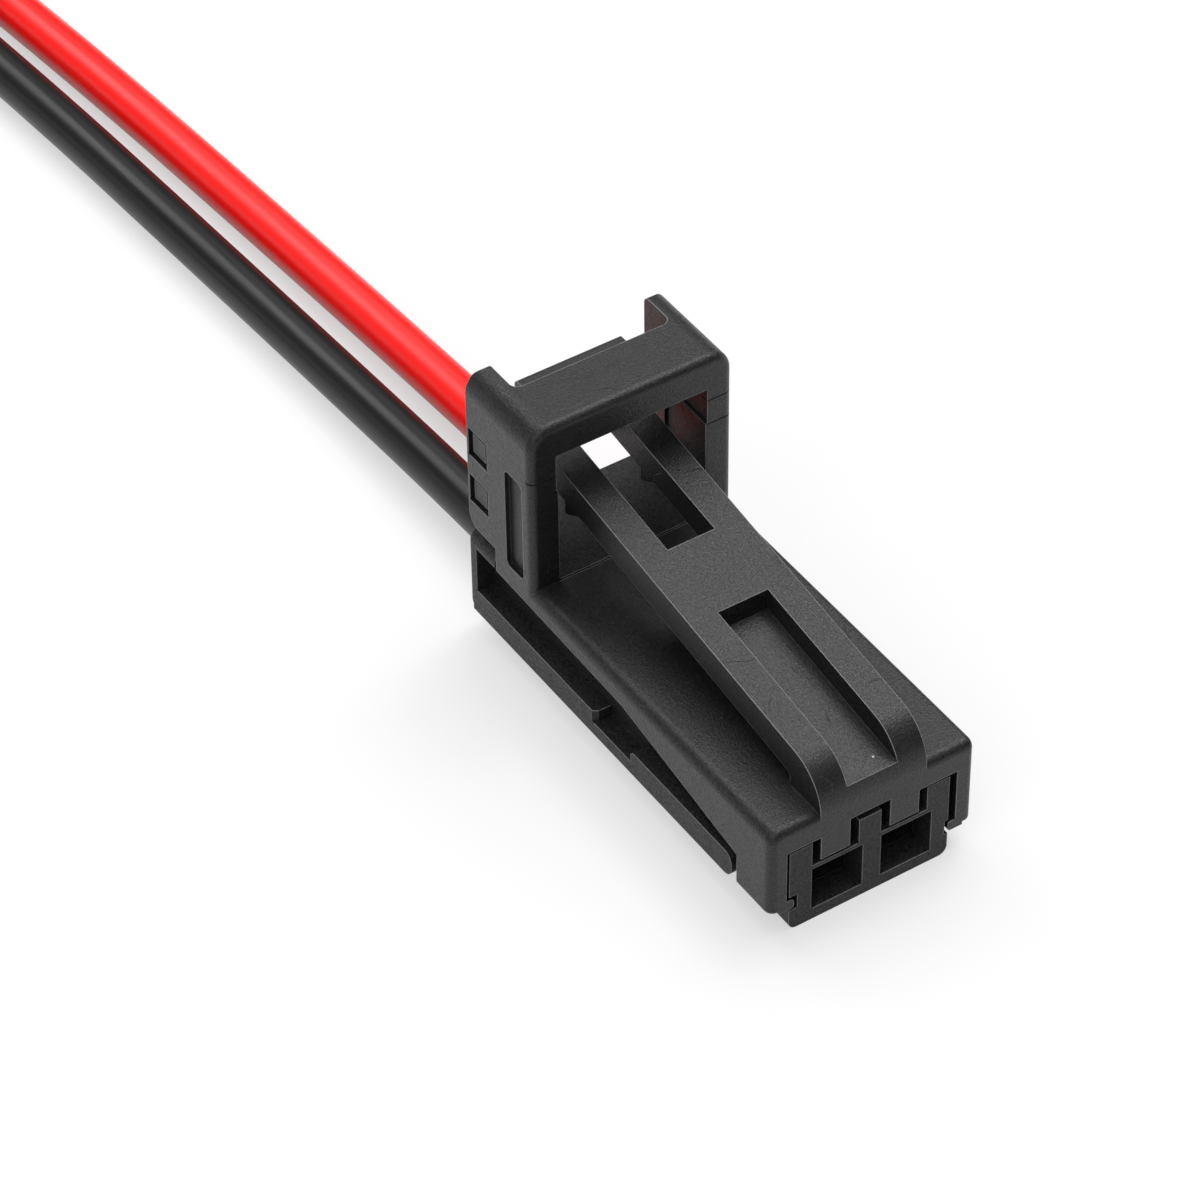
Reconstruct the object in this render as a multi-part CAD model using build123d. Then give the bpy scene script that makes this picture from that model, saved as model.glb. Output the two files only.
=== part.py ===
from build123d import *
import math
import os

# Two-way prewired connector plug: latching outer shell, contact carrier, crimp contacts, two leads.
# Millimetres. +X is the mating direction, +Z is up, the origin is at the middle of the footprint,
# on the surface that the plug rests on. A name that ends in _BACK is a distance back from the
# mating face, and a name that ends in _Z is a height above the resting surface.

# Overall size of the housing
LENGTH = 27.0
WIDTH = 12.2
BODY_TOP_Z = 7.0
ARCH_TOP_Z = 17.4
FIT_CLEARANCE = 0.2
SIDE_CLEARANCE = 0.3
CARRIER_OVERHANG = 0.3

# Teeth, posts and carrier body sit a little off the middle, so that only one header fits
CODING_SHIFT = 0.15

# Outer shell: plate, side walls and front block
SHELL_WALL = 1.0
PLATE_THICKNESS = 1.6
SHELL_BOTTOM_Z = 1.45
FRONT_BLOCK_BACK = 2.85
SIDE_EDGE_FRONT_Z = 3.55
SIDE_EDGE_BEND_BACK = 13.0
SIDE_EDGE_BEND_Z = 5.55
SIDE_EDGE_REAR_Z = 5.95
BODY_EDGE_RADIUS = 0.65
BODY_EDGE_RIGHT_RADIUS = 0.35
FRONT_EDGE_RADIUS = 0.5
WALL_END_RADIUS = 0.3
KEYWAY_HALF_WIDTH = 1.2
KEYWAY_DEPTH = 0.33
TOOTH_WIDTH = 1.74
TOOTH_BOTTOM_Z = 3.9
TOOTH_LENGTH = 2.0
HOOK_REACH = 0.45
HOOK_HEIGHT = 0.62

# Outer shell: guard arch over the latch, with two ears that reach back to the rear end
ARCH_TO_REAR = 5.95
ARCH_DEPTH = 3.5
ARCH_LEG = 1.55
ARCH_LINTEL = 2.0
ARCH_CORNER_RADIUS = 1.3
ARCH_FRONT_RADIUS = 0.45
EAR_THICKNESS = 1.4
EAR_BOTTOM_Z = 7.4
EAR_BOTTOM_RADIUS = 0.9
EAR_TOP_RADIUS = 0.4
EAR_ROOT_RADIUS = 0.5
GUIDE_RIB = 0.1
GUIDE_RIB_TOP_Z = 13.15

# Plain recesses in the left side of the arch, the square ones with a raised field
SQUARE_RECESS_LENGTH = 1.75
SQUARE_RECESS_HEIGHT = 1.8
SQUARE_RECESS_TO_REAR = 1.0
SQUARE_RECESS_UPPER_Z = 13.05
SQUARE_RECESS_LOWER_Z = 9.95
SLOT_RECESS_LENGTH = 1.6
SLOT_RECESS_HEIGHT = 6.4
SLOT_RECESS_BEHIND_ARCH = 1.65
SLOT_RECESS_Z = 10.35
SLOT_RECESS_RADIUS = 0.35
RECESS_DEPTH = 0.3
RAISED_FIELD_STEP = 0.12
RAISED_FIELD_MARGIN = 0.3

# Latch lever, which rises towards the rear and ends in a thumb pad behind the arch
LEVER_HALF_WIDTH = 3.17
LEVER_SLOPE_DEG = 8.5
LEVER_TOP_AT_FACE_Z = 9.15
LEVER_THICKNESS = 1.8
LEVER_NOSE_RADIUS = 2.6
LEVER_GAP_BACK = 2.6
LEVER_GAP_RADIUS = 0.45
POCKET_HALF_WIDTH = 1.5
POCKET_DEPTH = 1.3
POCKET_REAR_BACK = 11.25
SLOT_HALF_WIDTH = 1.42
SLOT_FRONT_BACK = 15.8
SLOT_TO_REAR = 1.8
PAD_TOP_Z = 15.6
PAD_TOP_LENGTH = 0.9
PAD_LENGTH = 1.6
CATCH_BEHIND_ARCH = 0.05
CATCH_LENGTH = 1.4
CATCH_HEIGHT = 0.75
CATCH_TIP = 0.3

# Contact carrier, pushed into the shell from behind
CARRIER_TOP_GAP = 0.1
CARRIER_EDGE_RADIUS = 0.5
DECK_GAP = 0.1
REAR_BLOCK_LENGTH = 2.3
REAR_BLOCK_RADIUS = 0.9
REAR_EDGE_RADIUS = 0.4
STRUT_LENGTH = 0.8
RAIL_FRONT_BACK = 3.3
RAIL_TOP_Z = 3.0
RAIL_FRONT_RADIUS = 0.6
NOTCH_FRONT_BACK = 12.2
NOTCH_REAR_BACK = 15.5
NOTCH_FLOOR_Z = 2.25
NOTCH_CORNER_RADIUS = 0.3
NOTCH_CORNER_CUT = 0.25
FRONT_WALL = 1.5
MID_POST_HALF_WIDTH = 0.66
TOP_BAR_HEIGHT = 0.25
TOP_BAR_DEPTH = 0.6
TOOTH_SLOT_BACK = 2.6
TOOTH_SLOT_OUTER = 3.45
OPENING_CHAMFER = 0.3
SOCKET_WIDTH = 3.05
SOCKET_BOTTOM_Z = 0.73
SOCKET_TOP_Z = 3.5

# Contacts and their cavities
CONTACT_PITCH = 4.15
CAVITY_WIDTH = 3.4
CAVITY_FLOOR_Z = 0.6
CAVITY_TOP_Z = 4.05
CONTACT_FRONT_BACK = 3.4
SHEET = 0.3
BOX_LENGTH = 8.0
BOX_WIDTH = 2.65
BOX_HEIGHT = 2.3
BOX_BOTTOM_Z = 0.86
NECK_WIDTH = 1.5
CORE_CRIMP_BACK = 13.6
CORE_CRIMP_LENGTH = 3.6
JACKET_CRIMP_BACK = 18.6
JACKET_CRIMP_LENGTH = 2.4
CRIMP_SEAM = 0.12
CRIMP_CLEARANCE = 0.02
SPRING_SHEET = 0.2
SPRING_LENGTH = 6.5
LANCE_LENGTH = 2.6
LANCE_WIDTH = 1.2
LANCE_RISE = 0.45

# Leads: insulation, stranded core and the bare far end
LEAD_DIAMETER = 2.7
CORE_DIAMETER = 1.9
BARE_END_DIAMETER = 2.24
LEAD_LENGTH = 100.0
STRIP_LENGTH = 6.0
JACKET_START_BACK = JACKET_CRIMP_BACK
CORE_START_BACK = 13.6
LEAD_EXIT_Z = 2.3
LEAD_REST_Z = LEAD_DIAMETER / 2

# Routes of the leads outside the housing: distance back, sideways place and height of each point
RED_ROUTE = [(31.0, CONTACT_PITCH / 2, LEAD_EXIT_Z), (50.0, 2.17, LEAD_REST_Z),
             (88.5, -0.42, LEAD_REST_Z)]
BLACK_ROUTE = [(31.0, -CONTACT_PITCH / 2, LEAD_EXIT_Z), (50.0, -2.3, LEAD_REST_Z),
               (88.5, -4.4, LEAD_REST_Z)]
END_TURN_DEG = 3.0


def at(back):
    """X of a place that lies this far back from the mating face."""
    return LENGTH / 2 - back


def block(front_back, rear_back, y_low, y_high, z_low, z_high):
    """Box between two distances back, two sideways places and two heights."""
    size = Box(rear_back - front_back, y_high - y_low, z_high - z_low)
    middle = Pos(at((front_back + rear_back) / 2), (y_low + y_high) / 2, (z_low + z_high) / 2)
    return middle * size


def side_profile(wire_edges, y_low, y_high):
    """Solid whose outline is drawn in the side view, between two sideways places."""
    face = make_face(wire_edges)
    return Pos(0, y_high, 0) * extrude(face, amount=y_high - y_low, dir=(0, -1, 0))


def outline(points):
    """Closed line through points given as distance back and height."""
    return Polyline([(at(back), 0, z) for back, z in points], close=True)


def both_sides(solid):
    """The solid and its mirror image across the middle of the plug."""
    return solid + mirror(solid, about=Plane.XZ)


# Sizes that follow from those above
HALF_WIDTH = WIDTH / 2
SHELL_INSIDE = HALF_WIDTH - SHELL_WALL
CARRIER_HALF_WIDTH = SHELL_INSIDE - SIDE_CLEARANCE
CARRIER_REAR_BACK = LENGTH + CARRIER_OVERHANG
PLATE_UNDERSIDE_Z = BODY_TOP_Z - PLATE_THICKNESS
CARRIER_TOP_Z = PLATE_UNDERSIDE_Z - CARRIER_TOP_GAP
ARCH_FRONT_BACK = LENGTH - ARCH_TO_REAR
ARCH_REAR_BACK = ARCH_FRONT_BACK + ARCH_DEPTH
ARCH_OPENING_HALF = HALF_WIDTH - ARCH_LEG
ARCH_OPENING_TOP_Z = ARCH_TOP_Z - ARCH_LINTEL
REAR_BLOCK_BACK = LENGTH - REAR_BLOCK_LENGTH
PAD_FOOT_BACK = LENGTH - PAD_LENGTH
SLOT_REAR_BACK = LENGTH - SLOT_TO_REAR
SQUARE_RECESS_BACK = LENGTH - SQUARE_RECESS_TO_REAR
SLOT_RECESS_BACK = ARCH_FRONT_BACK + SLOT_RECESS_BEHIND_ARCH
CATCH_BACK = ARCH_FRONT_BACK + CATCH_BEHIND_ARCH
LEVER_SLOPE = math.tan(math.radians(LEVER_SLOPE_DEG))
LEAD_Y = CONTACT_PITCH / 2


def lever_top(back):
    return LEVER_TOP_AT_FACE_Z + LEVER_SLOPE * back


def lever_bottom(back):
    return lever_top(back) - LEVER_THICKNESS


def side_edge(back):
    """Height of the sloping lower edge of the side walls behind their bend."""
    share = (back - SIDE_EDGE_BEND_BACK) / (LENGTH - SIDE_EDGE_BEND_BACK)
    return SIDE_EDGE_BEND_Z + (SIDE_EDGE_REAR_Z - SIDE_EDGE_BEND_Z) * share


def shell_body():
    """Plate and side walls, rounded outside, with the side walls cut to their sloping edge."""
    body = block(0, ARCH_REAR_BACK, -HALF_WIDTH, HALF_WIDTH, SHELL_BOTTOM_Z, BODY_TOP_Z)
    top_left = body.edges().filter_by(Axis.X).sort_by_distance((0, -HALF_WIDTH, BODY_TOP_Z))[0]
    body = fillet(top_left, BODY_EDGE_RADIUS)
    front = body.faces().sort_by(Axis.X)[-1]
    body = fillet(front.edges().filter_by(Axis.Y).group_by(Axis.Z)[-1], FRONT_EDGE_RADIUS)
    top_right = body.edges().filter_by(Axis.X).sort_by_distance((0, HALF_WIDTH, BODY_TOP_Z))[0]
    body = fillet(top_right, BODY_EDGE_RIGHT_RADIUS)
    body = fillet(body.edges().filter_by(Axis.X).group_by(Axis.Z)[0], WALL_END_RADIUS)
    kept = outline([(-1, SHELL_BOTTOM_Z - 1), (FRONT_BLOCK_BACK, SHELL_BOTTOM_Z - 1),
                    (FRONT_BLOCK_BACK, SIDE_EDGE_FRONT_Z), (SIDE_EDGE_BEND_BACK, SIDE_EDGE_BEND_Z),
                    (LENGTH, SIDE_EDGE_REAR_Z), (LENGTH, BODY_TOP_Z + 1), (-1, BODY_TOP_Z + 1)])
    return body & side_profile(kept, -WIDTH, WIDTH)


def arch():
    """Guard arch with its two ears."""
    whole = block(ARCH_FRONT_BACK, LENGTH, -HALF_WIDTH, HALF_WIDTH, PLATE_UNDERSIDE_Z, ARCH_TOP_Z)
    whole = fillet(whole.edges().filter_by(Axis.X).group_by(Axis.Z)[-1], ARCH_CORNER_RADIUS)
    front = whole.faces().sort_by(Axis.X)[-1]
    whole = fillet(front.edges().filter_by(lambda edge: edge.center().Z > BODY_TOP_Z),
                   ARCH_FRONT_RADIUS)
    kept = side_profile(outline([(SIDE_EDGE_BEND_BACK, SIDE_EDGE_BEND_Z),
                                 (SIDE_EDGE_BEND_BACK, ARCH_TOP_Z), (LENGTH, ARCH_TOP_Z),
                                 (LENGTH, EAR_BOTTOM_Z), (ARCH_REAR_BACK, EAR_BOTTOM_Z),
                                 (ARCH_REAR_BACK, side_edge(ARCH_REAR_BACK))]), -WIDTH, WIDTH)
    rear_low = kept.edges().filter_by(Axis.Y).sort_by_distance((at(LENGTH), 0, EAR_BOTTOM_Z))[0]
    kept = fillet(rear_low, EAR_BOTTOM_RADIUS)
    rear_high = kept.edges().filter_by(Axis.Y).sort_by_distance((at(LENGTH), 0, ARCH_TOP_Z))[0]
    whole = whole & fillet(rear_high, EAR_TOP_RADIUS)
    opening = block(0, ARCH_REAR_BACK + 0.01, -ARCH_OPENING_HALF, ARCH_OPENING_HALF, 0,
                    ARCH_OPENING_TOP_Z)
    ear_half = HALF_WIDTH - EAR_THICKNESS
    between_ears = block(ARCH_REAR_BACK, LENGTH + 1, -ear_half, ear_half, 0, ARCH_TOP_Z + 1)
    between_ears = fillet(between_ears.edges().filter_by(Axis.Z).group_by(Axis.X)[-1], EAR_ROOT_RADIUS)
    rib = block(ARCH_FRONT_BACK, ARCH_REAR_BACK, ARCH_OPENING_HALF - GUIDE_RIB,
                ARCH_OPENING_HALF + GUIDE_RIB, side_edge(ARCH_REAR_BACK), GUIDE_RIB_TOP_Z)
    return whole - opening - between_ears + both_sides(rib)


def recesses():
    """Cutters for the plain recesses in the left side."""
    outer = -HALF_WIDTH - 1
    floor = -HALF_WIDTH + RECESS_DEPTH
    field = -HALF_WIDTH + RAISED_FIELD_STEP
    half_length = SQUARE_RECESS_LENGTH / 2
    half_height = SQUARE_RECESS_HEIGHT / 2
    cutters = block(SLOT_RECESS_BACK - SLOT_RECESS_LENGTH / 2, SLOT_RECESS_BACK + SLOT_RECESS_LENGTH / 2,
                    outer, floor, SLOT_RECESS_Z - SLOT_RECESS_HEIGHT / 2,
                    SLOT_RECESS_Z + SLOT_RECESS_HEIGHT / 2)
    cutters = fillet(cutters.edges().filter_by(Axis.Y), SLOT_RECESS_RADIUS)
    for middle in (SQUARE_RECESS_UPPER_Z, SQUARE_RECESS_LOWER_Z):
        square = block(SQUARE_RECESS_BACK - half_length, SQUARE_RECESS_BACK + half_length, outer, floor,
                       middle - half_height, middle + half_height)
        raised = block(SQUARE_RECESS_BACK - half_length + RAISED_FIELD_MARGIN,
                       SQUARE_RECESS_BACK + half_length - RAISED_FIELD_MARGIN, field, floor,
                       middle - half_height + RAISED_FIELD_MARGIN,
                       middle + half_height - RAISED_FIELD_MARGIN)
        cutters += square - raised
    return cutters


def lever():
    """Latch lever with its nose, pocket, slot, thumb pad and catch."""
    tangent_back = LEVER_NOSE_RADIUS * (1 - math.sin(math.radians(LEVER_SLOPE_DEG)))
    nose_end = Vector(at(tangent_back), 0, lever_top(tangent_back))
    centre_z = nose_end.Z - LEVER_NOSE_RADIUS * math.cos(math.radians(LEVER_SLOPE_DEG))
    nose_start = Vector(at(0), 0, centre_z)
    foot = Vector(at(0), 0, PLATE_UNDERSIDE_Z)
    pad_front = Vector(at(LENGTH - PAD_TOP_LENGTH), 0, PAD_TOP_Z)
    pad_foot = Vector(at(PAD_FOOT_BACK), 0, lever_top(PAD_FOOT_BACK))
    pad_rear = Vector(at(LENGTH), 0, PAD_TOP_Z)
    rear_bottom = Vector(at(LENGTH), 0, lever_bottom(LENGTH))
    gap_end = Vector(at(LEVER_GAP_BACK), 0, lever_bottom(LEVER_GAP_BACK))
    gap_foot = Vector(at(LEVER_GAP_BACK), 0, PLATE_UNDERSIDE_Z)
    edges = [Line(foot, nose_start), TangentArc(nose_start, nose_end, tangent=(0, 0, 1)),
             Line(nose_end, pad_foot), Line(pad_foot, pad_front), Line(pad_front, pad_rear),
             Line(pad_rear, rear_bottom), Line(rear_bottom, gap_end), Line(gap_end, gap_foot),
             Line(gap_foot, foot)]
    body = side_profile(edges, -LEVER_HALF_WIDTH, LEVER_HALF_WIDTH)
    rounded = body.edges().filter_by(Axis.Y).filter_by(
        lambda edge: edge.center().Z > PAD_TOP_Z - 0.01)
    body = fillet(rounded, PAD_TOP_LENGTH / 3)
    root = body.edges().filter_by(Axis.Y).sort_by_distance((at(LEVER_GAP_BACK), 0, gap_end.Z))[0]
    body = fillet(root, LEVER_GAP_RADIUS)
    floor = outline([(-1, lever_top(-1) - POCKET_DEPTH),
                     (POCKET_REAR_BACK, lever_top(POCKET_REAR_BACK) - POCKET_DEPTH),
                     (POCKET_REAR_BACK, PAD_TOP_Z), (-1, PAD_TOP_Z)])
    pocket = side_profile(floor, -POCKET_HALF_WIDTH, POCKET_HALF_WIDTH)
    slot = block(SLOT_FRONT_BACK, SLOT_REAR_BACK, -SLOT_HALF_WIDTH, SLOT_HALF_WIDTH, BODY_TOP_Z,
                 PAD_TOP_Z)
    catch_rear = CATCH_BACK + CATCH_LENGTH
    catch = side_profile(outline([(CATCH_BACK, lever_bottom(CATCH_BACK) + 0.1),
                                  (catch_rear, lever_bottom(catch_rear) + 0.1),
                                  (catch_rear, lever_bottom(catch_rear) - CATCH_HEIGHT),
                                  (catch_rear - CATCH_TIP, lever_bottom(catch_rear) - CATCH_HEIGHT)]),
                         SLOT_HALF_WIDTH, LEVER_HALF_WIDTH)
    return body - pocket - slot + both_sides(catch)


def outer_shell():
    """Shell, arch and latch lever: one moulding."""
    cavity = block(-1, LENGTH + 1, -SHELL_INSIDE, SHELL_INSIDE, -1, PLATE_UNDERSIDE_Z)
    keyway = block(-1, TOOTH_LENGTH, -KEYWAY_HALF_WIDTH - CODING_SHIFT,
                   KEYWAY_HALF_WIDTH - CODING_SHIFT, 0, PLATE_UNDERSIDE_Z + KEYWAY_DEPTH)
    # The carrier's deck shows between the legs behind the front plane of the arch
    deck_window = block(ARCH_FRONT_BACK, LENGTH + 1, -ARCH_OPENING_HALF, ARCH_OPENING_HALF, 0,
                        BODY_TOP_Z + 1)
    body = shell_body() - cavity - deck_window
    tooth = block(0, TOOTH_LENGTH, KEYWAY_HALF_WIDTH, KEYWAY_HALF_WIDTH + TOOTH_WIDTH,
                  TOOTH_BOTTOM_Z, PLATE_UNDERSIDE_Z + KEYWAY_DEPTH)
    hook = block(0, FRONT_BLOCK_BACK, SHELL_INSIDE - HOOK_REACH, SHELL_INSIDE + HOOK_REACH,
                 SHELL_BOTTOM_Z, SHELL_BOTTOM_Z + HOOK_HEIGHT)
    inner_edges = hook.edges().filter_by(Axis.X).group_by(Axis.Y)[0]
    hook = fillet(inner_edges, HOOK_HEIGHT / 3)
    shell = body + arch() + lever() - keyway
    shell = shell + Pos(0, -CODING_SHIFT, 0) * both_sides(tooth) + both_sides(hook)
    return shell - recesses()


def carrier_core():
    """Inner body of the carrier, from the front posts to the rear face."""
    core = block(0, CARRIER_REAR_BACK, -CARRIER_HALF_WIDTH - CODING_SHIFT,
                 CARRIER_HALF_WIDTH - CODING_SHIFT, 0, CARRIER_TOP_Z)
    core = fillet(core.edges().filter_by(Axis.X).group_by(Axis.Z)[0], CARRIER_EDGE_RADIUS)
    deck_half = ARCH_OPENING_HALF - GUIDE_RIB - DECK_GAP
    deck = block(ARCH_FRONT_BACK + DECK_GAP, CARRIER_REAR_BACK - REAR_BLOCK_LENGTH / 2, -deck_half,
                 deck_half, CARRIER_TOP_Z - 1, BODY_TOP_Z)
    return core + deck


def rear_block():
    """Raised block across the rear, with a rounded crest, on a strut at each side."""
    crest = block(REAR_BLOCK_BACK, CARRIER_REAR_BACK, -HALF_WIDTH, HALF_WIDTH, SIDE_EDGE_REAR_Z,
                  BODY_TOP_Z)
    crest = fillet(crest.edges().filter_by(Axis.X).group_by(Axis.Z)[-1], REAR_BLOCK_RADIUS)
    rear = crest.faces().sort_by(Axis.X)[0]
    crest = fillet(rear.edges().filter_by(lambda edge: edge.center().Z > SIDE_EDGE_REAR_Z + 0.01),
                   REAR_EDGE_RADIUS)
    strut = block(CARRIER_REAR_BACK - STRUT_LENGTH, CARRIER_REAR_BACK, -HALF_WIDTH, HALF_WIDTH,
                  SHELL_BOTTOM_Z, SIDE_EDGE_REAR_Z)
    strut = fillet(strut.edges().filter_by(Axis.X).group_by(Axis.Z)[0], CARRIER_EDGE_RADIUS)
    rear = strut.faces().sort_by(Axis.X)[0]
    strut = fillet(rear.edges().filter_by(lambda edge: edge.center().Z < SIDE_EDGE_REAR_Z - 0.01),
                   REAR_EDGE_RADIUS)
    return crest + strut


def rail():
    """Guide rail on the right side: a bar with a notch right across it."""
    inner = CARRIER_HALF_WIDTH - SIDE_CLEARANCE
    bar = block(RAIL_FRONT_BACK, NOTCH_FRONT_BACK, inner, HALF_WIDTH, SHELL_BOTTOM_Z, RAIL_TOP_Z)
    bar = fillet(bar.edges().filter_by(Axis.Y).group_by(Axis.X)[-1], RAIL_FRONT_RADIUS)
    notch_end = bar.edges().filter_by(Axis.Y).sort_by_distance((at(NOTCH_FRONT_BACK), HALF_WIDTH, RAIL_TOP_Z))
    bar = fillet(notch_end[0], NOTCH_CORNER_RADIUS)
    low = block(NOTCH_FRONT_BACK, NOTCH_REAR_BACK, inner, HALF_WIDTH, SHELL_BOTTOM_Z, NOTCH_FLOOR_Z)
    rear = block(NOTCH_REAR_BACK, CARRIER_REAR_BACK - STRUT_LENGTH / 2, inner, HALF_WIDTH,
                 NOTCH_FLOOR_Z, RAIL_TOP_Z)
    corner = rear.edges().filter_by(Axis.Z).sort_by_distance((at(NOTCH_REAR_BACK), HALF_WIDTH, RAIL_TOP_Z))
    rear = chamfer(corner[0], NOTCH_CORNER_CUT)
    under = block(NOTCH_REAR_BACK, CARRIER_REAR_BACK - STRUT_LENGTH / 2, inner, HALF_WIDTH,
                  SHELL_BOTTOM_Z, NOTCH_FLOOR_Z)
    return bar + low + rear + under


def contact_carrier():
    """Carrier moulding with two contact cavities, two sockets and the slots for the shell's teeth."""
    carrier = carrier_core() + rear_block() + both_sides(rail())
    hook_slot = block(-1, FRONT_BLOCK_BACK + FIT_CLEARANCE, SHELL_INSIDE - HOOK_REACH - FIT_CLEARANCE,
                      WIDTH, SHELL_BOTTOM_Z - FIT_CLEARANCE / 2,
                      SHELL_BOTTOM_Z + HOOK_HEIGHT + FIT_CLEARANCE)
    carrier -= both_sides(hook_slot)
    cavity = block(FRONT_WALL, LENGTH + 1, LEAD_Y - CAVITY_WIDTH / 2, LEAD_Y + CAVITY_WIDTH / 2,
                   CAVITY_FLOOR_Z, CAVITY_TOP_Z)
    socket = block(-1, FRONT_WALL + 1, LEAD_Y - SOCKET_WIDTH / 2, LEAD_Y + SOCKET_WIDTH / 2,
                   SOCKET_BOTTOM_Z, SOCKET_TOP_Z)
    bar_top = SOCKET_TOP_Z + TOP_BAR_HEIGHT
    tooth_slot = block(-1, TOOTH_SLOT_BACK, MID_POST_HALF_WIDTH, TOOTH_SLOT_OUTER, bar_top,
                       CARRIER_TOP_Z + 1)
    behind_bar = block(TOP_BAR_DEPTH, TOOTH_SLOT_BACK, MID_POST_HALF_WIDTH + CODING_SHIFT,
                       TOOTH_SLOT_OUTER - CODING_SHIFT, SOCKET_TOP_Z - 1, CARRIER_TOP_Z + 1)
    carrier -= both_sides(cavity + socket + behind_bar)
    carrier -= Pos(0, -CODING_SHIFT, 0) * both_sides(tooth_slot)
    rear_face = carrier.faces().sort_by(Axis.X)[0]
    openings = [edge for wire in rear_face.inner_wires() for edge in wire.edges()]
    return chamfer(openings, OPENING_CHAMFER)


def ring(front_back, length, inner_radius, seam=0.0):
    """Crimped barrel round a lead on the right, with a seam along its top."""
    tube = Cylinder(inner_radius + SHEET, length) - Cylinder(inner_radius, length + 1)
    if seam > 0:
        tube -= Pos(-inner_radius - SHEET / 2, 0, 0) * Box(SHEET * 3, seam, length + 1)
    place = Pos(at(front_back + length / 2), LEAD_Y, LEAD_EXIT_Z)
    return place * Rot(0, 90, 0) * tube


def contact():
    """Female crimp contact on the right: open box, neck and two crimp barrels, from one strip."""
    rear = CONTACT_FRONT_BACK + BOX_LENGTH
    low = LEAD_Y - BOX_WIDTH / 2
    high = LEAD_Y + BOX_WIDTH / 2
    top = BOX_BOTTOM_Z + BOX_HEIGHT
    box = block(CONTACT_FRONT_BACK, rear, low, high, BOX_BOTTOM_Z, top)
    inside = block(CONTACT_FRONT_BACK - 1, rear + 1, low + SHEET, high - SHEET, BOX_BOTTOM_Z + SHEET,
                   top - SHEET)
    seam = block(CONTACT_FRONT_BACK - 1, rear + 1, LEAD_Y - CRIMP_SEAM / 2, LEAD_Y + CRIMP_SEAM / 2,
                 top - SHEET * 2, top + 1)
    core_crimp = ring(CORE_CRIMP_BACK, CORE_CRIMP_LENGTH, CORE_DIAMETER / 2 + CRIMP_CLEARANCE,
                      CRIMP_SEAM)
    jacket_crimp = ring(JACKET_CRIMP_BACK, JACKET_CRIMP_LENGTH, LEAD_DIAMETER / 2 + CRIMP_CLEARANCE,
                        CRIMP_SEAM)
    core_low = LEAD_EXIT_Z - CORE_DIAMETER / 2 - CRIMP_CLEARANCE - SHEET
    jacket_low = LEAD_EXIT_Z - LEAD_DIAMETER / 2 - CRIMP_CLEARANCE - SHEET
    front_neck = side_profile(outline([(rear - SHEET, BOX_BOTTOM_Z), (rear, BOX_BOTTOM_Z),
                                       (CORE_CRIMP_BACK, core_low),
                                       (CORE_CRIMP_BACK + SHEET, core_low),
                                       (CORE_CRIMP_BACK + SHEET, core_low + SHEET / 2),
                                       (CORE_CRIMP_BACK, core_low + SHEET),
                                       (rear, BOX_BOTTOM_Z + SHEET), (rear - SHEET, BOX_BOTTOM_Z + SHEET)]),
                              LEAD_Y - NECK_WIDTH / 2, LEAD_Y + NECK_WIDTH / 2)
    core_rear = CORE_CRIMP_BACK + CORE_CRIMP_LENGTH
    rear_neck = side_profile(outline([(core_rear - SHEET, core_low), (core_rear, core_low),
                                      (JACKET_CRIMP_BACK, jacket_low),
                                      (JACKET_CRIMP_BACK + SHEET, jacket_low),
                                      (JACKET_CRIMP_BACK + SHEET, jacket_low + SHEET / 2),
                                      (JACKET_CRIMP_BACK, jacket_low + SHEET),
                                      (core_rear, core_low + SHEET),
                                      (core_rear - SHEET, core_low + SHEET / 2)]),
                             LEAD_Y - NECK_WIDTH / 2, LEAD_Y + NECK_WIDTH / 2)
    return (box - inside - seam) + core_crimp + jacket_crimp + front_neck + rear_neck


def contact_spring():
    """Steel spring sleeve round the contact box on the right, with a locking lance on its top."""
    front = CONTACT_FRONT_BACK + SHEET
    rear = front + SPRING_LENGTH
    gap = CRIMP_CLEARANCE
    low = LEAD_Y - BOX_WIDTH / 2 - gap
    high = LEAD_Y + BOX_WIDTH / 2 + gap
    bottom = BOX_BOTTOM_Z - gap
    top = BOX_BOTTOM_Z + BOX_HEIGHT + gap
    sleeve = block(front, rear, low - SPRING_SHEET, high + SPRING_SHEET, bottom - SPRING_SHEET,
                   top + SPRING_SHEET)
    sleeve -= block(front - 1, rear + 1, low, high, bottom, top)
    lance_front = front + SPRING_SHEET
    lance_rear = lance_front + LANCE_LENGTH
    window = block(lance_front, lance_rear, LEAD_Y - LANCE_WIDTH / 2 - gap,
                   LEAD_Y + LANCE_WIDTH / 2 + gap, top - gap, top + 1)
    lance = side_profile(outline([(lance_front - SPRING_SHEET / 2, top),
                                  (lance_front, top),
                                  (lance_rear, top + LANCE_RISE),
                                  (lance_rear, top + LANCE_RISE + SPRING_SHEET),
                                  (lance_front, top + SPRING_SHEET),
                                  (lance_front - SPRING_SHEET / 2, top + SPRING_SHEET)]),
                         LEAD_Y - LANCE_WIDTH / 2, LEAD_Y + LANCE_WIDTH / 2)
    return (sleeve - window) + lance


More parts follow.
